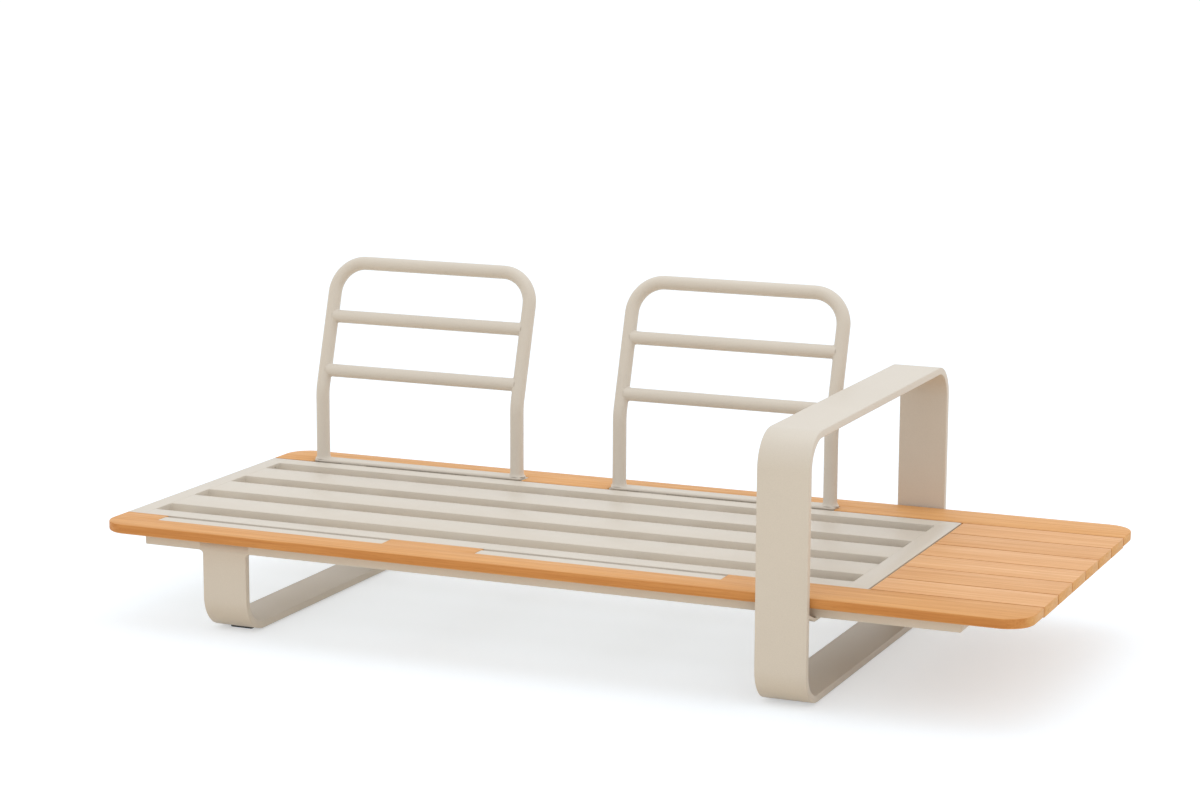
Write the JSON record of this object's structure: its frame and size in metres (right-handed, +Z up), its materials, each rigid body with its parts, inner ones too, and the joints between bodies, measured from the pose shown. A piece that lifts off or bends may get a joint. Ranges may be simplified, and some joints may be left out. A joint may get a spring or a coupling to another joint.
{
  "type": "outdoor sectional sofa module",
  "caption": "Bare outdoor sofa module with a slatted deck, teak rails and table end, a strap arm loop, a sled leg and lift-off tubular backrests.",
  "frame": {"origin": "on the floor, under the middle of the module's box", "axes": "+X along the module from the seat end to the table end, +Y from front to rear, +Z up"},
  "size_m": [2.09, 0.9416, 0.719],
  "materials": {
    "powder_coat": "fine textured powder coat, warm greige",
    "teak": "oiled teak with fine lengthwise grain",
    "glide": "matt black plastic",
    "steel": "plain stainless steel"
  },
  "bodies": {
    "platform": {"slat_front": "powder_coat", "slat_2": "powder_coat", "slat_3": "powder_coat", "slat_4": "powder_coat", "slat_rear": "powder_coat", "deck_end_left": "powder_coat", "deck_end_right": "powder_coat", "beam_front": "powder_coat", "beam_rear": "powder_coat", "beam_end_caps": "powder_coat", "cross_beam_1": "powder_coat", "cross_beam_2": "powder_coat", "cross_beam_3": "powder_coat", "cross_beam_4": "powder_coat", "cross_beam_5": "powder_coat", "table_bearer_left": "powder_coat", "table_bearer_right": "powder_coat", "teak_front_rail": "teak", "teak_rear_rail": "teak", "table_board_1": "teak", "table_board_2": "teak", "table_board_3": "teak", "table_board_4": "teak", "table_board_5": "teak", "table_board_6": "teak", "teak_screws": "steel", "receiver_front_left": "powder_coat", "receiver_front_right": "powder_coat", "receiver_rear_left": "powder_coat", "receiver_rear_right": "powder_coat", "arm_loop": "powder_coat", "loop_cross_plate": "powder_coat", "loop_bolts": "steel", "left_sled": "powder_coat", "loop_glides": "glide", "sled_glides": "glide", "glide_screws": "steel"},
    "backrest_left": {"backrest_left_hoop": "powder_coat", "backrest_left_upper_rung": "powder_coat", "backrest_left_lower_rung": "powder_coat", "backrest_left_foot_bar": "powder_coat", "backrest_left_tongue_left": "powder_coat", "backrest_left_tongue_right": "powder_coat"},
    "backrest_right": {"backrest_right_hoop": "powder_coat", "backrest_right_upper_rung": "powder_coat", "backrest_right_lower_rung": "powder_coat", "backrest_right_foot_bar": "powder_coat", "backrest_right_tongue_left": "powder_coat", "backrest_right_tongue_right": "powder_coat"}
  },
  "joints": [
    {"name": "backrest_left_lift", "type": "slide", "parent": "platform", "child": "backrest_left", "axis": [0, 0, 1], "range_m": [0, 0.12]},
    {"name": "backrest_right_lift", "type": "slide", "parent": "platform", "child": "backrest_right", "axis": [0, 0, 1], "range_m": [0, 0.12]}
  ]
}
